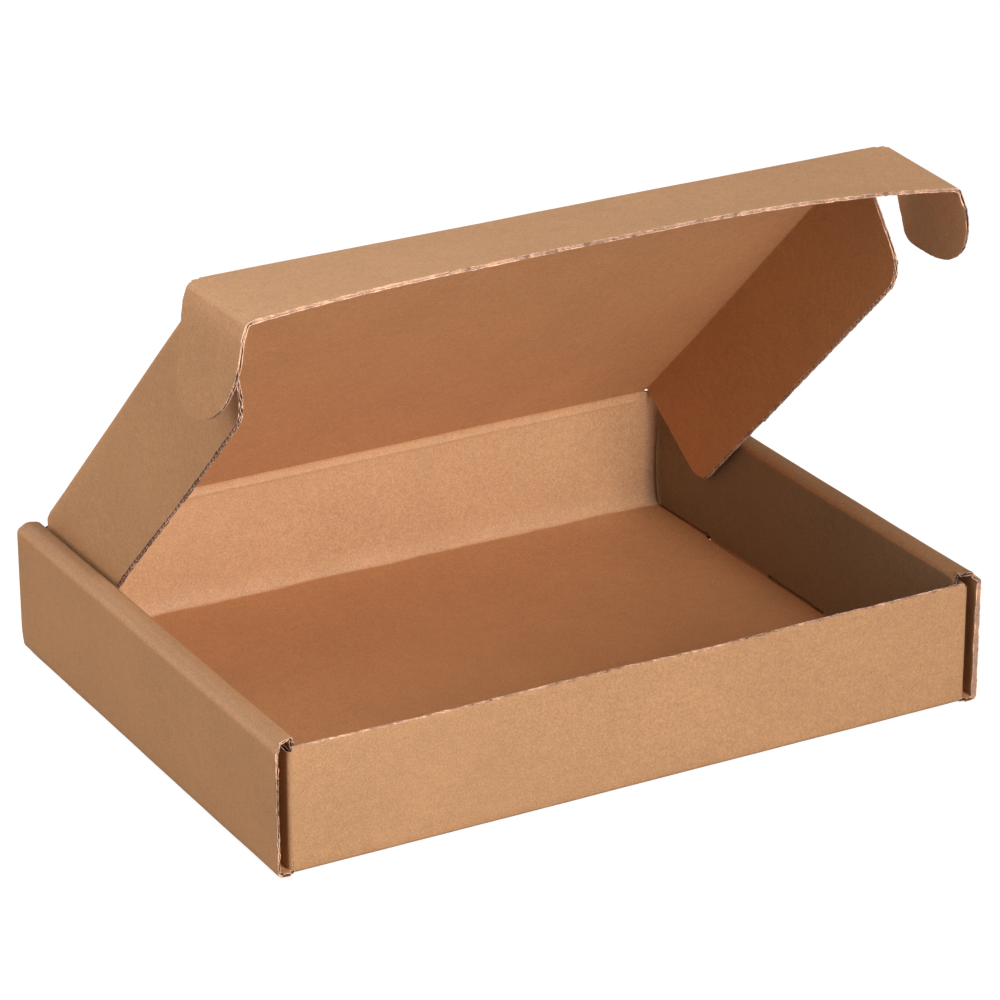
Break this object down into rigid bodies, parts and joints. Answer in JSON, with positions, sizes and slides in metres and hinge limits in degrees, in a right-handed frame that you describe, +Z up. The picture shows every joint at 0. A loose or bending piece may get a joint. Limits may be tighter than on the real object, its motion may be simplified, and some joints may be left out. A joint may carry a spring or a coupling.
{
  "type": "corrugated mailer box",
  "caption": "Brown corrugated mailer box with rolled side walls and a hinged lid standing part open, its tuck flap, ears and side flaps folded.",
  "frame": {"origin": "centre of the tray's bottom face", "axes": "+X to the right along the box's length, +Y to the hinge side, +Z up, with the tray resting on Z 0"},
  "size_m": [0.315, 0.2252, 0.2045],
  "materials": {
    "kraft_board": "matte"
  },
  "bodies": {
    "tray": {"tray": "kraft_board"},
    "lid": {"lid": "kraft_board"},
    "tuck_flap": {"tuck_flap": "kraft_board"},
    "side_flap_left": {"side_flap_left": "kraft_board"},
    "side_flap_right": {"side_flap_right": "kraft_board"},
    "ear_left": {"ear_left": "kraft_board"},
    "ear_right": {"ear_right": "kraft_board"}
  },
  "joints": [
    {"name": "lid_hinge", "type": "hinge", "parent": "tray", "child": "lid", "pos_m": [0, 0.1117, 0.0528], "axis": [-1, 0, 0], "range_deg": [-32.5, 136]},
    {"name": "tuck_crease", "type": "hinge", "parent": "lid", "child": "tuck_flap", "pos_m": [0, -0.0444, 0.20354], "axis": [1, 0, 0], "range_deg": [-45.5, 44.5]},
    {"name": "side_crease_left", "type": "hinge", "parent": "lid", "child": "side_flap_left", "pos_m": [-0.1354, 0.0331, 0.12759], "axis": [0, -0.7193, 0.6947], "range_deg": [-2, 85]},
    {"name": "side_crease_right", "type": "hinge", "parent": "lid", "child": "side_flap_right", "pos_m": [0.1354, 0.0331, 0.12759], "axis": [0, 0.7193, -0.6947], "range_deg": [-2, 85]},
    {"name": "ear_crease_left", "type": "hinge", "parent": "tuck_flap", "child": "ear_left", "pos_m": [-0.1464, -0.06889, 0.2029], "axis": [0, -0.9997, -0.0262], "range_deg": [-82, 8]},
    {"name": "ear_crease_right", "type": "hinge", "parent": "tuck_flap", "child": "ear_right", "pos_m": [0.1464, -0.06889, 0.2029], "axis": [0, 0.9997, 0.0262], "range_deg": [-71, 19]}
  ]
}
